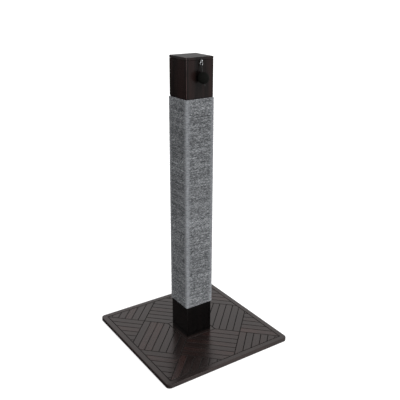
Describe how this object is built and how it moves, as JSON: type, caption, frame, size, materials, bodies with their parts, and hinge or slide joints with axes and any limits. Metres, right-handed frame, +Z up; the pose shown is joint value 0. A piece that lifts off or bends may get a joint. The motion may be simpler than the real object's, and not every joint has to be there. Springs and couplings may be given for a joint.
{
  "type": "cat scratching post",
  "caption": "Tall square scratching post wound with grey cord, on a dark parquet-cut base board, with a toy ball hanging in front of its head.",
  "frame": {"origin": "on the floor, under the middle of the base board", "axes": "+Z up along the post; -Y is the front, the face that the toy ball hangs on; +X to the right"},
  "size_m": [0.508, 0.508, 1.016],
  "materials": {
    "espresso_wood": "satin",
    "plain_wood": "raw",
    "grey_cord": "matte",
    "black_felt": "matte",
    "black_cord": "matte",
    "steel": "zinc plated",
    "brass": "plain",
    "pad_rubber": "matte"
  },
  "bodies": {
    "root": {"base_board": "espresso_wood", "base_pad_1": "pad_rubber", "base_pad_2": "pad_rubber", "base_pad_3": "pad_rubber", "base_pad_4": "pad_rubber", "post_board_front": "espresso_wood", "post_board_back": "espresso_wood", "post_board_left": "espresso_wood", "post_board_right": "espresso_wood", "foot_block": "plain_wood", "post_brace_lower": "plain_wood", "post_brace_upper": "plain_wood", "head_block": "plain_wood", "top_cap": "espresso_wood", "cap_dowel_1": "plain_wood", "cap_dowel_2": "plain_wood", "cap_dowel_3": "plain_wood", "cap_dowel_4": "plain_wood", "foot_bolt_1": "steel", "foot_bolt_2": "steel", "foot_bolt_3": "steel", "foot_bolt_4": "steel", "foot_washer_1": "steel", "foot_washer_2": "steel", "foot_washer_3": "steel", "foot_washer_4": "steel", "foot_insert_1": "brass", "foot_insert_2": "brass", "foot_insert_3": "brass", "foot_insert_4": "brass", "cord_winding": "grey_cord", "cord_tack_bottom": "steel", "cord_tack_top": "steel", "screw_eye": "steel"},
    "toy_ring": {"toy_ring": "steel"},
    "toy": {"toy_cord": "black_cord", "toy_ball": "black_felt"}
  },
  "joints": [
    {"name": "toy_sideways_swing", "type": "hinge", "parent": "root", "child": "toy_ring", "pos_m": [0, -0.0587, 0.9994], "axis": [0, 1, 0], "range_deg": [-60, 60]},
    {"name": "toy_outward_swing", "type": "hinge", "parent": "toy_ring", "child": "toy", "pos_m": [0, -0.0587, 0.9916], "axis": [-1, 0, 0], "range_deg": [0, 120]}
  ]
}
